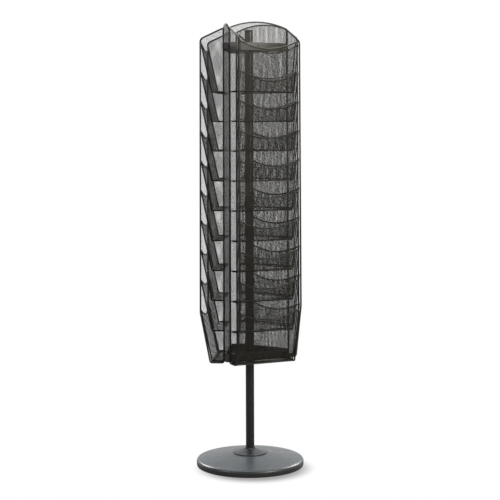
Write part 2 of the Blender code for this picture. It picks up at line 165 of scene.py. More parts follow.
# Steps round a turn, and the length of a wire's tip as a share of its radius
TUBE_SIDES = 10
POCKET_TUBE_SIDES = 8
TIP_LENGTH = 0.5
SCREW_STEPS = 32
QUARTER_STEPS = 8
ROUND_STEPS = 72
BASE_STEPS = 180

IDENTITY = Matrix.Identity(4)


# ---------------------------------------------------------------- mesh helpers


class Shape:
    """Points and faces gathered for one mesh, each batch with its own material."""

    def __init__(self):
        self.points = []
        self.faces = []
        self.slots = []
        self.count = 0

    def add(self, points, blocks, slot=0):
        """blocks is a list of face arrays, each array with a fixed number of corners a face."""
        points = np.asarray(points, float).reshape(-1, 3)
        for block in blocks:
            block = np.asarray(block, np.int64)
            if len(block):
                self.faces.append(block + self.count)
                self.slots.append(slot)
        self.points.append(points)
        self.count += len(points)

    def mesh(self, name, materials, sharp=35.0):
        """One mesh of all batches, smooth except at edges sharper than this angle in degrees."""
        points = np.concatenate(self.points)
        sizes = np.concatenate([np.full(len(block), block.shape[1]) for block in self.faces])
        corners = np.concatenate([block.ravel() for block in self.faces])
        counts = [len(block) for block in self.faces]
        slots = np.repeat(self.slots, counts)
        starts = np.concatenate([[0], np.cumsum(sizes)[:-1]])
        mesh = bpy.data.meshes.new(name)
        mesh.vertices.add(len(points))
        mesh.vertices.foreach_set("co", points.ravel().astype(np.float32))
        mesh.loops.add(len(corners))
        mesh.loops.foreach_set("vertex_index", corners.astype(np.int32))
        mesh.polygons.add(len(sizes))
        mesh.polygons.foreach_set("loop_start", starts.astype(np.int32))
        mesh.polygons.foreach_set("material_index", slots.astype(np.int32))
        mesh.update(calc_edges=True)
        mesh.validate()
        for material in materials:
            mesh.materials.append(material)
        mesh.shade_smooth()
        if sharp:
            mesh.set_sharp_from_angle(angle=math.radians(sharp))
        return mesh


def new_piece(name, mesh, body, place=IDENTITY, nodes=()):
    """An object of this mesh that rides on a body, and stands for these nodes of the frame."""
    piece = bpy.data.objects.new(name, mesh)
    bpy.context.scene.collection.objects.link(piece)
    piece.matrix_world = place
    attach(piece, body)
    if nodes:
        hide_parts(*nodes)


def ring_faces(rings, sides, closed=True):
    """Faces between rings of points in order; closed joins the last ring to the first."""
    ring, side = np.meshgrid(np.arange(rings if closed else rings - 1), np.arange(sides), indexing="ij")
    following = (side + 1) % sides
    low = ring * sides
    high = (ring + 1) % rings * sides
    return np.stack([low + side, low + following, high + following, high + side], axis=2).reshape(-1, 4)


def tube(path, radius, closed=False, sides=TUBE_SIDES):
    """A round wire along a path of 3-D points, with a blunt tip at each end where it is open."""
    path = np.asarray([tuple(point) for point in path], float)
    count = len(path)
    ahead = np.roll(path, -1, axis=0) - path
    if not closed:
        ahead[-1] = ahead[-2]
    ahead /= np.linalg.norm(ahead, axis=1)[:, None]
    behind = np.roll(ahead, 1, axis=0)
    if not closed:
        behind[0] = ahead[0]
    along = ahead + behind
    along /= np.linalg.norm(along, axis=1)[:, None]
    starts_upright = abs(along[0][2]) >= 0.9
    side = np.cross(along[0], (1, 0, 0) if starts_upright else (0, 0, 1))
    angles = np.arange(sides) * math.tau / sides
    rings = []
    for i in range(count):
        side = side - along[i] * np.dot(side, along[i])
        side = side / np.linalg.norm(side)
        other = np.cross(along[i], side)
        ring = np.cos(angles)[:, None] * side + np.sin(angles)[:, None] * other
        rings.append(path[i] + radius * ring)
    points = np.concatenate(rings)
    blocks = [ring_faces(count, sides, closed)]
    if not closed:
        last = (count - 1) * sides
        around = np.arange(sides)
        start_tip = np.full(sides, len(points))
        end_tip = start_tip + 1
        tips = [path[0] - along[0] * radius * TIP_LENGTH, path[-1] + along[-1] * radius * TIP_LENGTH]
        points = np.concatenate([points, tips])
        following = (around + 1) % sides
        blocks.append(np.stack([start_tip, following, around], axis=1))
        blocks.append(np.stack([end_tip, last + around, last + following], axis=1))
    return points, blocks


def lathe(outline, steps):
    """Points and faces of a closed (radius, height) outline turned round the Z axis."""
    outline = np.asarray(outline, float)
    angles = np.arange(steps) * math.tau / steps
    points = np.stack([
        np.cos(angles)[:, None] * outline[None, :, 0],
        np.sin(angles)[:, None] * outline[None, :, 0],
        np.ones(steps)[:, None] * outline[None, :, 1],
    ], axis=2).reshape(-1, 3)
    return points, [ring_faces(steps, len(outline))]


def turned(name, outline, material, steps=ROUND_STEPS):
    """A turned mesh, its points on the axis merged and its faces pointing out."""
    shape = Shape()
    shape.add(*lathe(outline, steps))
    mesh = shape.mesh(name, [material])
    solid = bmesh.new()
    solid.from_mesh(mesh)
    bmesh.ops.remove_doubles(solid, verts=solid.verts, dist=0.005 * MM)
    bmesh.ops.recalc_face_normals(solid, faces=solid.faces)
    solid.to_mesh(mesh)
    solid.free()
    return mesh


def arc(centre, radius, start, end, steps):
    """Points along a circular arc, angles in degrees."""
    angles = [math.radians(start + (end - start) * i / steps) for i in range(steps + 1)]
    return [(centre[0] + radius * math.cos(a), centre[1] + radius * math.sin(a)) for a in angles]


def rounded(corners, radii, steps=6):
    """A closed 2-D outline through these corners, each replaced by an arc of its radius."""
    points = []
    for i, radius in enumerate(radii):
        corner = Vector(corners[i])
        if radius == 0:
            points.append(tuple(corner))
            continue
        before = (Vector(corners[i - 1]) - corner).normalized()
        after = (Vector(corners[(i + 1) % len(corners)]) - corner).normalized()
        half = before.angle(after) / 2
        centre = corner + (before + after).normalized() * (radius / math.sin(half))
        start = corner + before * (radius / math.tan(half))
        end = corner + after * (radius / math.tan(half))
        for k in range(steps + 1):
            outwards = (start - centre).slerp(end - centre, k / steps)
            points.append(tuple(centre + outwards.normalized() * radius))
    return points


# ---------------------------------------------------------------- expanded metal


def inside_outline(points, outline):
    """Which 2-D points lie inside a closed outline."""
    ends = np.roll(outline, -1, axis=0)
    inside = np.zeros(len(points), bool)
    for (x0, y0), (x1, y1) in zip(outline, ends):
        if y0 == y1:
            continue
        crosses = (points[:, 1] > y0) != (points[:, 1] > y1)
        crossing = x0 + (points[:, 1] - y0) * (x1 - x0) / (y1 - y0)
        inside ^= crosses & (points[:, 0] < crossing)
    return inside


def onto_outline(points, outline):
    """The nearest point of a closed outline to each 2-D point."""
    best = np.full(len(points), np.inf)
    nearest = points.copy()
    ends = np.roll(outline, -1, axis=0)
    for start, end in zip(outline, ends):
        along = end - start
        length = along @ along
        if length == 0:
            continue
        share = np.clip((points - start) @ along / length, 0, 1)
        at = start + share[:, None] * along
        distance = ((points - at) ** 2).sum(axis=1)
        closer = distance < best
        best[closer] = distance[closer]
        nearest[closer] = at[closer]
    return nearest


def expanded_metal(outline, diamond, share, twist):
    """Expanded metal cut to a 2-D outline: points in the sheet, their rise out of it, and faces.

    Each opening is a diamond with four corner points. A strand joins two openings' sides, and a
    knuckle joins four openings' corners. Side corners lie behind the sheet's middle and upper and
    lower corners before it, so that each strand is twisted. Rows and columns of openings run past
    the outline by two on each side; a face that crosses the outline is pulled in to it.
    """
    outline = np.asarray(outline, float)
    low = outline.min(axis=0)
    high = outline.max(axis=0)
    columns = int((high[0] - low[0]) / diamond[0]) + 4
    rows = int((high[1] - low[1]) / (diamond[1] / 2)) + 4
    middle = (low + high) / 2
    row, column = np.meshgrid(np.arange(rows), np.arange(columns), indexing="ij")
    across = middle[0] + (column - columns / 2 + 0.5 * (row % 2)) * diamond[0]
    up = middle[1] + (row - rows / 2) * diamond[1] / 2
    reach = np.array(diamond) / 2 * share
    corner_steps = [(-reach[0], 0, -1), (reach[0], 0, -1), (0, -reach[1], 1), (0, reach[1], 1)]
    points = np.stack([np.stack([across + a, up + b], axis=2) for a, b, _ in corner_steps], axis=2)
    tilt = np.broadcast_to([side for _, _, side in corner_steps], points.shape[:3])
    points = points.reshape(-1, 2)
    tilt = tilt.ravel() * twist

    left, right, bottom, top = (4 * (row * columns + column) + k for k in range(4))
    shift = row % 2
    inner = (row > 0) & (row < rows - 1) & (column > 0) & (column < columns - 2)
    r, c, s = row[inner], column[inner], shift[inner]
    upper_right = (r + 1, c + s)
    upper_left = (r + 1, c + s - 1)
    lower_right = (r - 1, c + s)
    next_along = (r, c + 1)
    strand_right = np.stack([right[r, c], bottom[upper_right], left[upper_right], top[r, c]], axis=1)
    strand_left = np.stack([left[r, c], top[r, c], right[upper_left], bottom[upper_left]], axis=1)
    knuckle = np.stack([right[r, c], top[lower_right], left[next_along], bottom[upper_right]], axis=1)
    faces = np.concatenate([strand_right, strand_left, knuckle])

    inside = inside_outline(points, outline)
    faces = faces[inside[faces].any(axis=1)]
    used, faces = np.unique(faces, return_inverse=True)
    faces = faces.reshape(-1, 4)
    points, tilt, inside = points[used], tilt[used], inside[used]
    points[~inside] = onto_outline(points[~inside], outline)
    return points, tilt, faces


# ---------------------------------------------------------------- node materials


class Nodes:
    """A material's node tree, built link by link."""

    def __init__(self, name):
        self.material = bpy.data.materials.new(name)
        self.material.use_nodes = True
        self.tree = self.material.node_tree
        self.shader = self.tree.nodes["Principled BSDF"]
        self.place = self.new("ShaderNodeTexCoord").outputs["Object"]

    def new(self, kind, **settings):
        node = self.tree.nodes.new(kind)
        for key, value in settings.items():
            setattr(node, key, value)
        return node

    def link(self, start, end):
        self.tree.links.new(start, end)

    def noise(self, scale, detail, stretch=None):
        """The value of a noise texture, squeezed along each axis by stretch."""
        node = self.new("ShaderNodeTexNoise")
        node.inputs["Scale"].default_value = scale
        node.inputs["Detail"].default_value = detail
        where = self.place
        if stretch:
            mapping = self.new("ShaderNodeMapping")
            mapping.inputs["Scale"].default_value = stretch
            self.link(where, mapping.inputs["Vector"])
            where = mapping.outputs["Vector"]
        self.link(where, node.inputs["Vector"])
        return node.outputs["Fac"]

    def ramp(self, value, low, high, start=0.3, end=0.7):
        """value, mapped so that start to end becomes low to high; low and high are colours."""
        node = self.new("ShaderNodeValToRGB")
        node.color_ramp.elements[0].position = start
        node.color_ramp.elements[0].color = (*low, 1)
        node.color_ramp.elements[1].position = end
        node.color_ramp.elements[1].color = (*high, 1)
        self.link(value, node.inputs["Fac"])
        return node.outputs["Color"]

    def spread(self, value, low, high):
        """value, mapped from the middle of its range to low and high."""
        node = self.new("ShaderNodeMapRange")
        node.inputs["From Min"].default_value = 0.3
        node.inputs["From Max"].default_value = 0.7
        node.inputs["To Min"].default_value = low
        node.inputs["To Max"].default_value = high
        self.link(value, node.inputs["Value"])
        return node.outputs["Result"]

    def mix(self, first, second, share):
        """Two colours or sockets mixed; share, a number or a socket, is the second's part."""
        node = self.new("ShaderNodeMix", data_type="RGBA")
        for value, socket in ((first, node.inputs[6]), (second, node.inputs[7])):
            if isinstance(value, tuple):
                socket.default_value = (*value, 1)
            else:
                self.link(value, socket)
        if isinstance(share, float):
            node.inputs[0].default_value = share
        else:
            self.link(share, node.inputs[0])
        return node.outputs[2]

    def bump(self, height, strength, distance):
        """Bumps on the whole surface, from the value of height."""
        node = self.new("ShaderNodeBump")
        node.inputs["Strength"].default_value = strength
        node.inputs["Distance"].default_value = distance
        self.link(height, node.inputs["Height"])
        self.link(node.outputs["Normal"], self.shader.inputs["Normal"])


def coated(name, dark, light, roughness, grain=900.0, specular=0.5):
    """Powder coat: slow drifts of tone, a fine speckle, uneven gloss and an orange-peel surface."""
    nodes = Nodes(name)
    drift = nodes.ramp(nodes.noise(9.0, 4.0), dark, light)
    middle = tuple((a + b) / 2 for a, b in zip(dark, light))
    speck = nodes.ramp(nodes.noise(grain * 0.6, 1.0), middle, light, 0.35, 0.75)
    nodes.link(nodes.mix(drift, speck, 0.35), nodes.shader.inputs["Base Color"])
    gloss = nodes.spread(nodes.noise(30.0, 5.0), roughness - 0.05, roughness + 0.07)
    nodes.link(gloss, nodes.shader.inputs["Roughness"])
    nodes.bump(nodes.noise(grain, 2.0), 0.25, 0.06 * MM)
    nodes.shader.inputs["Specular IOR Level"].default_value = specular
    return nodes.material


def zinc_plate():
    """Bright zinc: mottled grey with faint yellow, brushed by turning."""
    nodes = Nodes("zinc_plate")
    tone = nodes.ramp(nodes.noise(160.0, 4.0), (0.42, 0.41, 0.38), (0.62, 0.62, 0.60))
    nodes.link(tone, nodes.shader.inputs["Base Color"])
    gloss = nodes.spread(nodes.noise(700.0, 2.0, stretch=(1, 1, 8)), 0.28, 0.45)
    nodes.link(gloss, nodes.shader.inputs["Roughness"])
    nodes.bump(nodes.noise(1400.0, 1.0, stretch=(1, 1, 6)), 0.2, 0.03 * MM)
    nodes.shader.inputs["Metallic"].default_value = 1.0
    return nodes.material


def cast_iron():
    """Sand-cast iron: dark, coarse and dull, with brown bloom in places."""
    nodes = Nodes("cast_iron")
    bare = nodes.ramp(nodes.noise(70.0, 5.0), (0.035, 0.034, 0.033), (0.085, 0.083, 0.080))
    bloom = nodes.ramp(nodes.noise(16.0, 5.0), (0.0, 0.0, 0.0), (1.0, 1.0, 1.0), 0.55, 0.72)
    nodes.link(nodes.mix(bare, (0.11, 0.055, 0.03), bloom), nodes.shader.inputs["Base Color"])
    nodes.link(nodes.spread(nodes.noise(90.0, 3.0), 0.62, 0.85), nodes.shader.inputs["Roughness"])
    nodes.bump(nodes.noise(420.0, 5.0), 0.6, 0.25 * MM)
    nodes.shader.inputs["Metallic"].default_value = 0.6
    return nodes.material


def moulded(name, colour, roughness, grain):
    """Rubber or nylon: nearly black, dull, with a fine spark-eroded grain."""
    nodes = Nodes(name)
    lighter = tuple(value * 1.7 + 0.004 for value in colour)
    nodes.link(nodes.ramp(nodes.noise(45.0, 5.0), colour, lighter), nodes.shader.inputs["Base Color"])
    gloss = nodes.spread(nodes.noise(220.0, 3.0), roughness - 0.08, roughness + 0.08)
    nodes.link(gloss, nodes.shader.inputs["Roughness"])
    nodes.bump(nodes.noise(grain, 3.0), 0.35, 0.05 * MM)
    return nodes.material


def make_materials():
    """Every finish by its short name; a coat's colours are its darkest and lightest tones."""
    return {
        "wire": coated("wire_coat", (0.004, 0.004, 0.003), (0.010, 0.009, 0.007), 0.30, specular=0.3),
        "mesh": coated("mesh_coat", (0.008, 0.007, 0.005), (0.018, 0.016, 0.012), 0.42, specular=0.28),
        "pocket": coated("pocket_coat", (0.007, 0.006, 0.005), (0.015, 0.014, 0.011), 0.42, specular=0.28),
        "bracket": coated("bracket_coat", (0.014, 0.014, 0.011), (0.026, 0.025, 0.020), 0.26),
        "pole": coated("pole_coat", (0.006, 0.006, 0.006), (0.011, 0.011, 0.011), 0.22, specular=0.4),
        "base": coated("base_coat", (0.025, 0.030, 0.034), (0.034, 0.040, 0.045), 0.36),
        # Painted shade: a darker, glossier coat for the base skirt's wall below the rim, so that the wall
        # reads as in shade
        "edge": coated("base_skirt_painted_shade", (0.014, 0.014, 0.014), (0.022, 0.022, 0.022), 0.40, specular=0.4),
        "screw": coated("black_screw", (0.008, 0.008, 0.008), (0.020, 0.020, 0.020), 0.32, grain=2200.0),
        "zinc": zinc_plate(),
        "iron": cast_iron(),
        "rubber": moulded("rubber", (0.010, 0.010, 0.010), 0.82, 900.0),
        "nylon": moulded("black_nylon", (0.010, 0.010, 0.010), 0.55, 1500.0),
    }


# ---------------------------------------------------------------- rack dimensions from the frame


def rack_sizes():
    """Sizes of the first rack, which faces -Y, to its wires' centres; seat is from the pole's axis."""
    low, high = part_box("rack_1_frame")
    pocket_low, pocket_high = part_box("rack_1_pocket_01")
    sizes = {
        "half": high.x - WIRE_RADIUS,
        "seat": -(high.y - WIRE_RADIUS),
        "bottom": low.z + WIRE_RADIUS,
        "arch_top": high.z - CROSS_WIRE_RADIUS,
    }
    sizes["depth"] = -(low.y + WIRE_RADIUS) - sizes["seat"]
    sizes["corner_top"] = sizes["arch_top"] - ARCH_RISE
    sizes["front_top"] = sizes["corner_top"] - TOP_SLOPE_FALL
    sizes["taper_top"] = sizes["bottom"] + TAPER_HEIGHT
    sizes["pocket_height"] = pocket_high.z - pocket_low.z
    sizes["pocket_depth"] = -pocket_low.y - sizes["seat"]
    return sizes


RACK = rack_sizes()


def rack_point(across, depth, height):
    """A point of the first rack; across and depth may be arrays."""
    return np.stack(np.broadcast_arrays(across, -(RACK["seat"] + depth), height), axis=-1)


def rack_place(number, height=0.0):
    """The place that carries a piece of the first rack to this rack, lifted by height."""
    turn = Matrix.Rotation(math.tau * (number - 1) / RACK_COUNT, 4, "Z")
    return turn @ Matrix.Translation((0, 0, height))


def side_corners():
    """Corners of a rack's side wall, as (depth, height)."""
    return [
        (0, RACK["bottom"]),
        (BOTTOM_DEPTH, RACK["bottom"]),
        (RACK["depth"], RACK["taper_top"]),
        (RACK["depth"], RACK["front_top"]),
        (0, RACK["corner_top"]),
    ]


def side_outline():
    """Outline of a rack's side wall with its corners rounded, as (depth, height)."""
    radii = [BOTTOM_ROUND, BOTTOM_ROUND, TAPER_ROUND, TOP_FRONT_ROUND, TOP_BACK_ROUND]
    return rounded(side_corners(), radii)


def arch_height(across):
    """Height of the back's arched top wire, a circular arc between the two side walls."""
    radius = (RACK["half"] ** 2 + ARCH_RISE**2) / (2 * ARCH_RISE)
    return RACK["arch_top"] - radius + np.sqrt(radius**2 - across**2)


# ---------------------------------------------------------------- one rack's meshes


def wires_mesh(materials):
    """The two side loops, the arch and the bottom cross wires."""
    shape = Shape()
    outline = side_outline()
    for side in (-1, 1):
        path = [rack_point(side * RACK["half"], depth, height) for depth, height in outline]
        shape.add(*tube(path, WIRE_RADIUS + WIRE_COATING, closed=True))
    across = np.linspace(-RACK["half"], RACK["half"], ARCH_STEPS + 1)
    shape.add(*tube(rack_point(across, 0, arch_height(across)), CROSS_WIRE_RADIUS + WIRE_COATING))
    for depth in (CROSS_WIRE_INSET, BOTTOM_DEPTH - CROSS_WIRE_INSET):
        ends = [rack_point(side * RACK["half"], depth, RACK["bottom"]) for side in (-1, 1)]
        shape.add(*tube(ends, CROSS_WIRE_RADIUS + WIRE_COATING))
    return shape.mesh("rack_wires", [materials["wire"]], sharp=60)


def back_sheet_mesh(materials):
    """Expanded metal over a rack's back, up to the arch."""
    half = RACK["half"] - SHEET_INSET
    across = np.linspace(half, -half, ARCH_STEPS + 1)
    outline = [(x, arch_height(x)) for x in across]
    outline += [(-half, RACK["bottom"]), (half, RACK["bottom"])]
    points, tilt, faces = expanded_metal(outline, TRAY_DIAMOND, TRAY_OPENING_SHARE, TRAY_TWIST)
    shape = Shape()
    depth = WIRE_RADIUS + SHEET_GAP
    shape.add(rack_point(points[:, 0], depth + tilt, points[:, 1]), [faces[:, ::-1]])
    return shape.mesh("back_sheet", [materials["mesh"]], sharp=None)


def side_sheet_mesh(side, materials):
    """Expanded metal over a rack's side wall; side is -1 or 1."""
    points, tilt, faces = expanded_metal(side_outline(), TRAY_DIAMOND, TRAY_OPENING_SHARE, TRAY_TWIST)
    shape = Shape()
    across = side * (RACK["half"] - WIRE_RADIUS - SHEET_GAP) + tilt
    shape.add(rack_point(across, points[:, 0], points[:, 1]), [faces])
    return shape.mesh("side_sheet", [materials["mesh"]], sharp=None)


def bottom_sheet_mesh(materials):
    """Expanded metal across a rack's open bottom, between the back and the taper."""
    half = RACK["half"] - SHEET_INSET
    outline = [(half, SHEET_INSET), (-half, SHEET_INSET), (-half, BOTTOM_DEPTH), (half, BOTTOM_DEPTH)]
    points, tilt, faces = expanded_metal(outline, TRAY_DIAMOND, TRAY_OPENING_SHARE, POCKET_TWIST)
    shape = Shape()
    shape.add(rack_point(points[:, 0], points[:, 1], RACK["bottom"] + tilt), [faces[:, ::-1]])
    return shape.mesh("bottom_sheet", [materials["mesh"]], sharp=None)


def pocket_slope():
    """The direction in which a pocket's front rises, as (depth, height) of length 1."""
    rise = Vector((RACK["pocket_depth"] - POCKET_FLOOR_DEPTH, RACK["pocket_height"]))
    return rise.normalized()


def along_pocket(run):
    """Depth, height and outward normal at a run along a pocket's floor and front.

    run is 0 where the floor would meet the front if the bend were sharp, negative on the floor.
    """
    slope = pocket_slope()
    turn = math.atan2(slope.y, slope.x)
    reach = POCKET_BEND * math.tan(turn / 2)
    share = np.clip((run + reach) / (2 * reach), 0, 1)
    angle = share * turn
    depth = POCKET_FLOOR_DEPTH - reach + POCKET_BEND * np.sin(angle)
    height = POCKET_BEND * (1 - np.cos(angle))
    depth = depth + np.minimum(run + reach, 0) + np.maximum(run - reach, 0) * slope.x
    height = height + np.maximum(run - reach, 0) * slope.y
    return depth, height, np.sin(angle), -np.cos(angle)


def pocket_rim(across, half):
    """Run of the dipped upper edge of a pocket's front."""
    length = math.hypot(RACK["pocket_depth"] - POCKET_FLOOR_DEPTH, RACK["pocket_height"])
    return length - POCKET_DIP * (1 - (across / half) ** 2)


def pocket_mesh(materials):
    """One pocket at height 0: an expanded-metal sheet bent at the floor, with a wire all round it."""
    half = RACK["half"] - WIRE_RADIUS - POCKET_SIDE_GAP - POCKET_WIRE_RADIUS
    lift = POCKET_WIRE_RADIUS
    back = WIRE_RADIUS + POCKET_BACK_GAP + POCKET_WIRE_RADIUS
    floor_run = POCKET_FLOOR_DEPTH - back
    across = np.linspace(half, -half, POCKET_RIM_STEPS + 1)
    rim = [(x, pocket_rim(x, half) - POCKET_WIRE_RADIUS) for x in across]
    outline = rim + [(-half, -floor_run), (half, -floor_run)]
    points, tilt, faces = expanded_metal(outline, POCKET_DIAMOND, POCKET_OPENING_SHARE, POCKET_TWIST)
    depth, height, out, down = along_pocket(points[:, 1])
    shape = Shape()
    sheet = rack_point(points[:, 0], depth + tilt * out, lift + height + tilt * down)
    shape.add(sheet, [faces], 0)

    def on_sheet(pairs):
        """The points at these (across, run) pairs of the bent sheet."""
        pairs = np.asarray(pairs, float)
        depths, heights, _, _ = along_pocket(pairs[:, 1])
        return rack_point(pairs[:, 0], depths, lift + heights)

    radius = POCKET_WIRE_RADIUS + WIRE_COATING
    front = on_sheet(rim + [(-half, 0.0), (half, 0.0)])
    shape.add(*tube(front, radius, closed=True, sides=POCKET_TUBE_SIDES), 1)
    floor = on_sheet([(-half, 0.0), (-half, -floor_run), (half, -floor_run), (half, 0.0)])
    shape.add(*tube(floor, radius, sides=POCKET_TUBE_SIDES), 1)
    return shape.mesh("rack_pocket", [materials["pocket"], materials["wire"]], sharp=None)


def plate_mesh(name, size, front, thickness, radius, material):
    """An upright plate facing -Y with rounded corners and edges; front is how far out its face is."""
    half_width, half_height = size[0] / 2, size[1] / 2
    outline = rounded([(-half_width, -half_height), (half_width, -half_height),
                       (half_width, half_height), (-half_width, half_height)], [radius] * 4)
    solid = bmesh.new()
    outer = [solid.verts.new((x, -front, z)) for x, z in outline]
    inner = [solid.verts.new((x, thickness - front, z)) for x, z in outline]
    solid.faces.new(outer)
    solid.faces.new(inner)
    for i in range(len(outline)):
        solid.faces.new((outer[i - 1], outer[i], inner[i], inner[i - 1]))
    bmesh.ops.recalc_face_normals(solid, faces=solid.faces)
    rims = [edge for edge in solid.edges if edge.calc_face_angle(0) > math.radians(PLATE_EDGE_ANGLE)]
    bmesh.ops.bevel(solid, geom=rims, offset=PLATE_EDGE, segments=3, affect="EDGES")
    mesh = bpy.data.meshes.new(name)
    solid.to_mesh(mesh)
    solid.free()
    mesh.materials.append(material)
    mesh.shade_smooth()
    mesh.set_sharp_from_angle(angle=math.radians(35))
    return mesh


def strap_mesh(materials):
    """Flat strap welded across a rack's back, its rear face nearly level with the wires' rear."""
    front = RACK["seat"] - WIRE_RADIUS + STRAP_INSET + STRAP_THICKNESS
    size = (2 * RACK["half"] - 2 * STRAP_SIDE_GAP, STRAP_HEIGHT)
    return plate_mesh("rack_strap", size, front, STRAP_THICKNESS, STRAP_ROUND, materials["bracket"])


def screw_mesh(materials):
    """Pan-head screw with a round recess, its axis along the rack's depth, at height 0."""
    low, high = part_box("rack_1_top_screw")
    head = (high.z - low.z) / 2
    shank = SCREW_SHANK_RADIUS
    tip = -(high.y - low.y - SCREW_CROWN)
    outline = [(0.0, tip), (shank - SCREW_TIP_CUT, tip), (shank, tip + SCREW_TIP_CUT)]
    outline += [(shank, 0.0), (head, 0.0)]
    for k in range(QUARTER_STEPS):
        angle = math.radians(90 * k / QUARTER_STEPS)
        rise = SCREW_BRIM + (1 - SCREW_BRIM) * math.sin(angle)
        outline.append((head * math.cos(angle), SCREW_CROWN * rise))
    outline += [(radius, SCREW_CROWN - depth) for radius, depth in SCREW_RECESS]
    mesh = turned("rack_screw", outline, materials["screw"], SCREW_STEPS)
    upright = Matrix.Rotation(math.radians(90), 4, "X")
    mesh.transform(Matrix.Translation((0, low.y + SCREW_CROWN, 0)) @ upright)
    return mesh


def build_racks(materials):
    """Three racks that share their meshes; heights come from the first rack's nodes."""
    wires = wires_mesh(materials)
    back = back_sheet_mesh(materials)
    other_sheets = {
        "left": side_sheet_mesh(-1, materials),
        "right": side_sheet_mesh(1, materials),
        "bottom": bottom_sheet_mesh(materials),
    }
    pocket = pocket_mesh(materials)
    strap = strap_mesh(materials)
    screw = screw_mesh(materials)
    for number in range(1, RACK_COUNT + 1):
        rack = f"rack_{number}"
        place = rack_place(number)
        new_piece(f"{rack}_wires", wires, "carousel", place, [f"{rack}_frame"])
        new_piece(f"{rack}_back_sheet", back, "carousel", place, [f"{rack}_tray"])
        for side, sheet in other_sheets.items():
            new_piece(f"{rack}_{side}_sheet", sheet, "carousel", place)
        for n in range(1, POCKET_COUNT + 1):
            seat = rack_place(number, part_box(f"rack_1_pocket_{n:02d}")[0].z)
            name = f"{rack}_pocket_{n:02d}"
            new_piece(f"{name}_mesh", pocket, "carousel", seat, [name])
        for where in ("bottom", "top"):
            low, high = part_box(f"rack_1_{where}_screw")
            middle = rack_place(number, (low.z + high.z) / 2)
            new_piece(f"{rack}_{where}_strap", strap, "carousel", middle)
            node = f"{rack}_{where}_screw"
            new_piece(f"{node}_head", screw, "carousel", middle, [node])


# ---------------------------------------------------------------- brackets


def bracket_ring(inset, height):
    """Points round a triangle with cut, rounded corners, this far inside the bracket's outer face."""
    side = RACK["seat"] - WIRE_RADIUS - GAP - inset
    corner = BRACKET_CORNER - inset
    corners = []
    for k in range(RACK_COUNT):
        turn = Matrix.Rotation(math.tau * k / RACK_COUNT, 2)
        reach = side * math.sqrt(3) - (2 * side - corner) * 2 / math.sqrt(3)
        corners += [tuple(turn @ Vector((-reach, -side))), tuple(turn @ Vector((reach, -side)))]
    radius = max(BRACKET_CORNER_ROUND - inset, BRACKET_LEAST_ROUND)
    bends = rounded(corners, [radius] * len(corners), 5)
    points = []
    for i, point in enumerate(bends):
        start = Vector(bends[i - 1])
        steps = max(1, round((Vector(point) - start).length / BRACKET_RING_STEP))
        points += [tuple(start.lerp(Vector(point), k / steps)) for k in range(1, steps + 1)]
    return np.array([(x, y, height) for x, y in points])


def bracket_mesh(height, material):
    """A pan pressed from sheet: a plate with a bore, bent up into a flange all round."""
    wall, lip = BRACKET_WALL, BRACKET_LIP
    profile = []
    for a in np.linspace(0, math.pi / 2, BEND_POINTS):
        profile.append((BRACKET_BEND * (1 - math.sin(a)), BRACKET_BEND * (1 - math.cos(a))))
    profile += [(0, height - lip), (lip, height), (wall - lip, height), (wall, height - lip)]
    for a in np.linspace(0, math.pi / 2, FILLET_POINTS):
        inwards = BRACKET_FILLET * (1 - math.cos(a))
        downwards = BRACKET_FILLET * (1 - math.sin(a))
        profile.append((wall + inwards, wall + downwards))
    rings = [bracket_ring(inset, z) for inset, z in profile]
    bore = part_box("top_bush")[1].x - BUSH_FLANGE_WIDTH + GAP
    for z, ring in ((BRACKET_WALL, rings[-1]), (0.0, rings[0])):
        flat = ring[:, :2] / np.linalg.norm(ring[:, :2], axis=1)[:, None] * bore
        rings.append(np.column_stack([flat, np.full(len(flat), z)]))
    shape = Shape()
    shape.add(np.concatenate(rings), [ring_faces(len(rings), len(rings[0]))])
    return shape.mesh("bracket", [material], sharp=40)


def build_brackets(materials):
    """Both brackets, each with a plug on the outside of its three cut corners."""
    low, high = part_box("top_bracket")
    bracket = bracket_mesh(high.z - low.z, materials["bracket"])
    plug_face = BRACKET_CORNER + PLUG_REACH
    plug = plate_mesh("corner_plug", PLUG_SIZE, plug_face, PLUG_THICKNESS, PLUG_ROUND, materials["nylon"])
    for where in ("top", "bottom"):
        name = f"{where}_bracket"
        low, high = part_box(name)
        seat = Matrix.Translation((0, 0, low.z))
        new_piece(f"{name}_pan", bracket, "carousel", seat, [name])
        for k in range(RACK_COUNT):
            turn = Matrix.Rotation(math.tau * (k + 0.5) / RACK_COUNT, 4, "Z")
            place = turn @ Matrix.Translation((0, 0, (low.z + high.z) / 2))
            new_piece(f"{name}_plug_{k + 1}", plug, "carousel", place)


# ---------------------------------------------------------------- pole and base


def build_turned(node, outline, material, body, steps=ROUND_STEPS):
    """A finer turned piece that stands for one node of the frame."""
    new_piece(f"{node}_turned", turned(node, outline, material, steps), body, nodes=[node])


def tube_outline(inner, outer, bottom, top, edge=TUBE_EDGE):
    """Outline of a ring or tube whose outer edges are cut at a slant."""
    return [(inner, bottom), (outer - edge, bottom), (outer, bottom + edge),
            (outer, top - edge), (outer - edge, top), (inner, top)]


def dome_outline(radius, bottom, top, rise, plug_radius, plug_bottom):
    """A cap: a rounded top on a short skirt, with a plug below it."""
    outline = [(0.0, plug_bottom), (plug_radius, plug_bottom), (plug_radius, bottom), (radius, bottom)]
    for k in range(QUARTER_STEPS + 1):
        angle = math.radians(90 * k / QUARTER_STEPS)
        outline.append((radius - rise * (1 - math.cos(angle)), top - rise * (1 - math.sin(angle))))
    outline.append((0.0, top))
    return outline


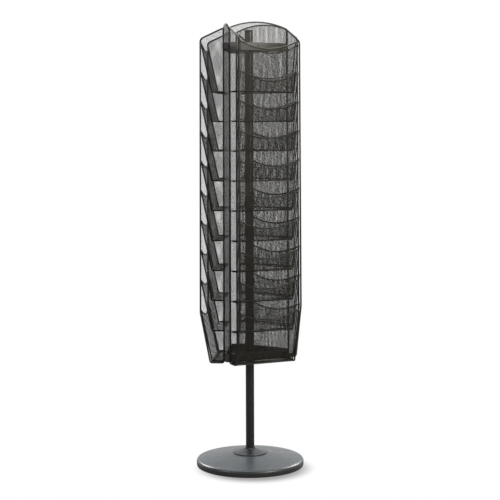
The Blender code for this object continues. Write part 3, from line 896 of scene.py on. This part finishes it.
def build_pole(materials):
    """Both tubes of the pole, its cap, and the collar and washer that carry the racks."""
    for node in ("lower_pole", "upper_pole"):
        low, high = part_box(node)
        outline = tube_outline(high.x - POLE_WALL, high.x, low.z, high.z)
        build_turned(node, outline, materials["pole"], "stand")
    low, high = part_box("pole_cap")
    pole_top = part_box("upper_pole")[1].z
    cap = dome_outline(high.x, pole_top + CAP_GAP, high.z, CAP_ROUND, high.x - CAP_PLUG_INSET, low.z)
    build_turned("pole_cap", cap, materials["nylon"], "stand")
    pole_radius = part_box("lower_pole")[1].x
    finishes = {"support_collar": ("pole", "pole_coat"), "thrust_washer": ("nylon", "black_plastic")}
    for node, (finish, slot) in finishes.items():
        low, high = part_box(node)
        outline = tube_outline(pole_radius + GAP, high.x, low.z, high.z, COLLAR_EDGE)
        build_turned(node, outline, materials[finish], "stand")


def base_cover_outline():
    """Pressed cover: upright skirt, round rim, narrow border, low dome, and a flat seat for the hub."""
    low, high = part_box("base_cover")
    radius = high.x
    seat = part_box("hub_flange")[1].x + HUB_SEAT_BORDER
    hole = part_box("lower_pole")[1].x + POLE_HOLE_GAP
    centre = (radius - RIM_ROUND, RIM_HEIGHT - RIM_ROUND)
    skirt = [(radius - inset, low.z + rise) for inset, rise in SKIRT_FOOT]
    rim = arc(centre, RIM_ROUND, 0, RIM_TURN, RIM_STEPS)
    border = radius - RIM_BORDER
    border_height = RIM_HEIGHT + BORDER_RISE
    dome = []
    for i in range(DOME_STEPS):
        part = i / DOME_STEPS
        rise = math.sin(part * math.pi / 2) * DOME_ROUNDNESS + part * (1 - DOME_ROUNDNESS)
        dome.append((border + (seat - border) * part, border_height + (high.z - border_height) * rise))
    top = [(seat, high.z), (hole, high.z)]
    outside = skirt + rim + dome + top
    inside = [(r, z - BASE_SHEET) for r, z in reversed(dome + top)]
    inside += reversed(arc(centre, RIM_ROUND - BASE_SHEET, 0, RIM_TURN, QUARTER_STEPS))
    inside.append((skirt[0][0] - BASE_SHEET, low.z))
    return outside + inside


def hub_outline():
    """Hub: a thin plate with a rounded edge that rises as a low cone to a neck round the pole."""
    low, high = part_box("hub_flange")
    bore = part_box("lower_pole")[1].x + GAP
    edge_start = high.x - HUB_EDGE
    outline = [(bore, low.z), (high.x - HUB_LOWER_EDGE, low.z), (high.x, low.z + HUB_LOWER_EDGE)]
    outline += arc((edge_start, low.z + HUB_STEP - HUB_EDGE), HUB_EDGE, 0, 80, 6)
    cone_bottom = low.z + HUB_STEP
    cone_top = high.z - HUB_NECK_HEIGHT
    cone_end = HUB_NECK_RADIUS + HUB_FILLET
    for k in range(1, HUB_CONE_STEPS + 1):
        part = k / HUB_CONE_STEPS
        height = cone_bottom + (cone_top - cone_bottom) * part**HUB_CONE_POWER
        outline.append((edge_start + (cone_end - edge_start) * part, height))
    outline += arc((cone_end, cone_top + HUB_FILLET), HUB_FILLET, -90, -180, 5)[1:]
    neck_edge = (HUB_NECK_RADIUS - HUB_NECK_EDGE, high.z - HUB_NECK_EDGE)
    outline += arc(neck_edge, HUB_NECK_EDGE, 0, 90, 4)
    outline.append((bore, high.z))
    return outline


def build_base(materials):
    """The cover, its skirt's wall below the rim in a darker coat that is painted shade; the hub; and the
    foot ring.
    """
    cover = turned("base_cover", base_cover_outline(), materials["base"], BASE_STEPS)
    # Painted shade: the second material, a darker coat, goes on the skirt's wall below the rim's round
    cover.materials.append(materials["edge"])
    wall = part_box("base_cover")[1].x - SHADED_SKIRT_DEPTH
    for face in cover.polygons:
        if face.center.xy.length > wall and face.center.z < RIM_HEIGHT - RIM_ROUND:
            face.material_index = 1
    new_piece("base_cover_turned", cover, "stand", nodes=["base_cover"])
    build_turned("hub_flange", hub_outline(), materials["base"], "stand", BASE_STEPS)
    low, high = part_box("foot_ring")
    foot = tube_outline(FOOT_INNER_RADIUS, high.x, low.z, high.z, FOOT_EDGE)
    build_turned("foot_ring", foot, materials["rubber"], "stand", BASE_STEPS)


def dress_nodes(materials):
    """Materials for the frame's own nodes that stay as they are."""
    finishes = {
        "ballast_disc": "iron", "centre_bolt": "zinc", "centre_washer": "zinc",
        "pole_foot_insert": "zinc", "pole_connector": "zinc", "collar_set_screw": "screw",
        "bottom_bush": "nylon", "top_bush": "nylon",
    }
    for name, finish in finishes.items():
        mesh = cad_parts[name].data
        mesh.materials.clear()
        mesh.materials.append(materials[finish])


# ---------------------------------------------------------------- studio


# Camera: its place round the pole and its aim, level with the racks' upper half
CAMERA_TURN = math.radians(25.06)
CAMERA_DISTANCE = 5096.75 * MM
CAMERA_HEIGHT = 1262.41 * MM
CAMERA_PITCH = math.radians(3.70)
CAMERA_ROLL = math.radians(-0.19)
CAMERA_LENS = 95.19
CAMERA_SHIFT = (0.0024, -0.4101)
CAMERA_SENSOR = 36.0
CAMERA_FAR_END = 100.0
CAMERA_TOLERANCE = 2.0 * MM

# World: a white backdrop ahead of the camera fades to a dim studio between these cosines
BACKDROP_EDGE = (0.1, 0.7)
BACKDROP_TONE = 1.0
STUDIO_TONE = 0.08

# Floor: a soft shadow whose middle is moved from the base's (right, ahead), as the camera sees it.
# It is darkest inside the first of its edges, which are measured from the base's radius.
FLOOR_REACH = 30.0
FLOOR_DROP = 0.2 * MM
FLOOR_TONE = (0.3, 0.3, 0.3)
SHADOW_OFFSET = (15.0 * MM, -48.0 * MM)
SHADOW_EDGE = (-48.0 * MM, 36.0 * MM)
SHADOW_TONE = 0.38

# Lights on the base's rim, as the camera sees them: to the right or left, ahead, and height
RIM_LIGHT_PLACE = (2.75, 2.07, 2.4)


def add_camera():
    """The camera stands level with the racks' upper half, its lens shifted down to frame the base.

    The shift holds only at this viewpoint: a camera moved elsewhere looks straight ahead.
    """
    data = bpy.data.cameras.new("camera")
    data.sensor_width = CAMERA_SENSOR
    data.lens = CAMERA_LENS
    data.clip_end = CAMERA_FAR_END
    camera = bpy.data.objects.new("camera", data)
    bpy.context.scene.collection.objects.link(camera)
    back = Vector((-math.sin(CAMERA_TURN), -math.cos(CAMERA_TURN), 0))
    right = Vector((math.cos(CAMERA_TURN), -math.sin(CAMERA_TURN), 0))
    ahead = -back * math.cos(CAMERA_PITCH) + Vector((0, 0, math.sin(CAMERA_PITCH)))
    up = right.cross(ahead)
    rolled_right = right * math.cos(CAMERA_ROLL) + up * math.sin(CAMERA_ROLL)
    rolled_up = up * math.cos(CAMERA_ROLL) - right * math.sin(CAMERA_ROLL)
    axes = Matrix((rolled_right, rolled_up, -ahead)).transposed().to_4x4()
    place = back * CAMERA_DISTANCE + Vector((0, 0, CAMERA_HEIGHT))
    camera.matrix_world = Matrix.Translation(place) @ axes
    bpy.context.scene.camera = camera
    for path, shift in zip(("shift_x", "shift_y"), CAMERA_SHIFT):
        driver = data.driver_add(path).driver
        for name, channel in (("x", "LOC_X"), ("y", "LOC_Y")):
            variable = driver.variables.new()
            variable.name = name
            variable.type = "TRANSFORMS"
            variable.targets[0].id = camera
            variable.targets[0].transform_type = channel
            variable.targets[0].transform_space = "WORLD_SPACE"
        x, y = camera.matrix_world.translation.x, camera.matrix_world.translation.y
        distance = f"abs(x - ({x:.4f})) + abs(y - ({y:.4f}))"
        driver.expression = f"{shift} if {distance} < {CAMERA_TOLERANCE} else 0.0"


def from_camera(right, ahead, height):
    """A place given by its distance to the right and ahead of the pole, as the camera sees it."""
    turn = Matrix.Rotation(-CAMERA_TURN, 3, "Z")
    return turn @ Vector((right, ahead, height))


def add_softbox(name, place, target, size, power, colour=(1, 1, 1), only=()):
    """An area light out of the camera's sight; with only, it lights nothing but those pieces."""
    data = bpy.data.lights.new(name, "AREA")
    data.shape = "RECTANGLE"
    data.size = size[0]
    data.size_y = size[1]
    data.energy = power
    data.color = colour
    light = bpy.data.objects.new(name, data)
    light.location = place
    light.rotation_euler = (Vector(target) - Vector(place)).to_track_quat("-Z", "Y").to_euler()
    light.visible_camera = False
    bpy.context.scene.collection.objects.link(light)
    if only:
        lit = bpy.data.collections.new(f"{name}_receivers")
        for piece in only:
            lit.objects.link(bpy.data.objects[piece])
        light.light_linking.receiver_collection = lit


def add_world():
    """White to the camera; to the object, a white backdrop behind it and a dim studio elsewhere."""
    world = bpy.data.worlds.new("studio")
    bpy.context.scene.world = world
    world.use_nodes = True
    tree = world.node_tree
    background = tree.nodes["Background"]
    output = tree.nodes["World Output"]
    direction = tree.nodes.new("ShaderNodeTexCoord").outputs["Generated"]
    ahead = tree.nodes.new("ShaderNodeVectorMath")
    ahead.operation = "DOT_PRODUCT"
    ahead.inputs[1].default_value = (math.sin(CAMERA_TURN), math.cos(CAMERA_TURN), 0.0)
    tree.links.new(direction, ahead.inputs[0])
    backdrop = tree.nodes.new("ShaderNodeMapRange")
    backdrop.interpolation_type = "SMOOTHSTEP"
    backdrop.inputs["From Min"].default_value = BACKDROP_EDGE[0]
    backdrop.inputs["From Max"].default_value = BACKDROP_EDGE[1]
    backdrop.inputs["To Min"].default_value = STUDIO_TONE
    backdrop.inputs["To Max"].default_value = BACKDROP_TONE
    tree.links.new(ahead.outputs["Value"], backdrop.inputs["Value"])
    tree.links.new(backdrop.outputs["Result"], background.inputs["Color"])
    white = tree.nodes.new("ShaderNodeBackground")
    white.inputs["Color"].default_value = (1, 1, 1, 1)
    path = tree.nodes.new("ShaderNodeLightPath")
    mix = tree.nodes.new("ShaderNodeMixShader")
    tree.links.new(path.outputs["Is Camera Ray"], mix.inputs[0])
    tree.links.new(background.outputs[0], mix.inputs[1])
    tree.links.new(white.outputs[0], mix.inputs[2])
    tree.links.new(mix.outputs[0], output.inputs["Surface"])


def add_floor():
    """A wide floor: to the camera it is white but for a soft shadow, to all else it is grey."""
    mesh = bpy.data.meshes.new("floor")
    corners = [(-FLOOR_REACH, -FLOOR_REACH, 0), (FLOOR_REACH, -FLOOR_REACH, 0),
               (FLOOR_REACH, FLOOR_REACH, 0), (-FLOOR_REACH, FLOOR_REACH, 0)]
    mesh.from_pydata(corners, [], [(0, 1, 2, 3)])
    nodes = Nodes("floor")
    nodes.shader.inputs["Base Color"].default_value = (*FLOOR_TONE, 1)
    nodes.shader.inputs["Roughness"].default_value = 1.0
    nodes.shader.inputs["Specular IOR Level"].default_value = 0.0
    reach = nodes.new("ShaderNodeVectorMath", operation="DISTANCE")
    reach.inputs[1].default_value = from_camera(*SHADOW_OFFSET, 0)
    nodes.link(nodes.place, reach.inputs[0])
    base_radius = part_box("base_cover")[1].x
    shade = nodes.new("ShaderNodeMapRange", interpolation_type="SMOOTHSTEP")
    shade.inputs["From Min"].default_value = base_radius + SHADOW_EDGE[0]
    shade.inputs["From Max"].default_value = base_radius + SHADOW_EDGE[1]
    shade.inputs["To Min"].default_value = SHADOW_TONE
    nodes.link(reach.outputs["Value"], shade.inputs["Value"])
    white = nodes.new("ShaderNodeEmission")
    nodes.link(shade.outputs["Result"], white.inputs["Strength"])
    mix = nodes.new("ShaderNodeMixShader")
    nodes.link(nodes.new("ShaderNodeLightPath").outputs["Is Camera Ray"], mix.inputs[0])
    nodes.link(nodes.shader.outputs["BSDF"], mix.inputs[1])
    nodes.link(white.outputs["Emission"], mix.inputs[2])
    nodes.link(mix.outputs["Shader"], nodes.tree.nodes["Material Output"].inputs["Surface"])
    mesh.materials.append(nodes.material)
    floor = bpy.data.objects.new("floor", mesh)
    bpy.context.scene.collection.objects.link(floor)
    floor.location.z = -FLOOR_DROP


def build_studio():
    """The picture's camera, surroundings and lights."""
    bpy.context.scene.view_settings.view_transform = "Standard"
    add_camera()
    add_world()
    add_floor()
    add_softbox("right_softbox", place=(0.95, -3.0, 1.55), target=(0, 0, 1.3), size=(1.1, 1.3),
                power=90, colour=(1.0, 0.96, 0.84))
    add_softbox("left_softbox", place=(-3.2, -0.6, 1.4), target=(0, 0, 0.9), size=(0.6, 2.0), power=25)
    add_softbox("top_softbox", place=(0, 0.2, 3.2), target=(0, 0, 0), size=(3.0, 3.0),
                power=150, colour=(0.95, 0.98, 1.0))
    aside, ahead, height = RIM_LIGHT_PLACE
    for side, right in (("left", -aside), ("right", aside)):
        add_softbox(f"{side}_rim_light", place=from_camera(right, ahead, height), target=(0, 0, 0),
                    size=(1.6, 1.6), power=165, only=("base_cover_turned",))


MATERIALS = make_materials()
build_racks(MATERIALS)
build_brackets(MATERIALS)
build_pole(MATERIALS)
build_base(MATERIALS)
dress_nodes(MATERIALS)
build_studio()
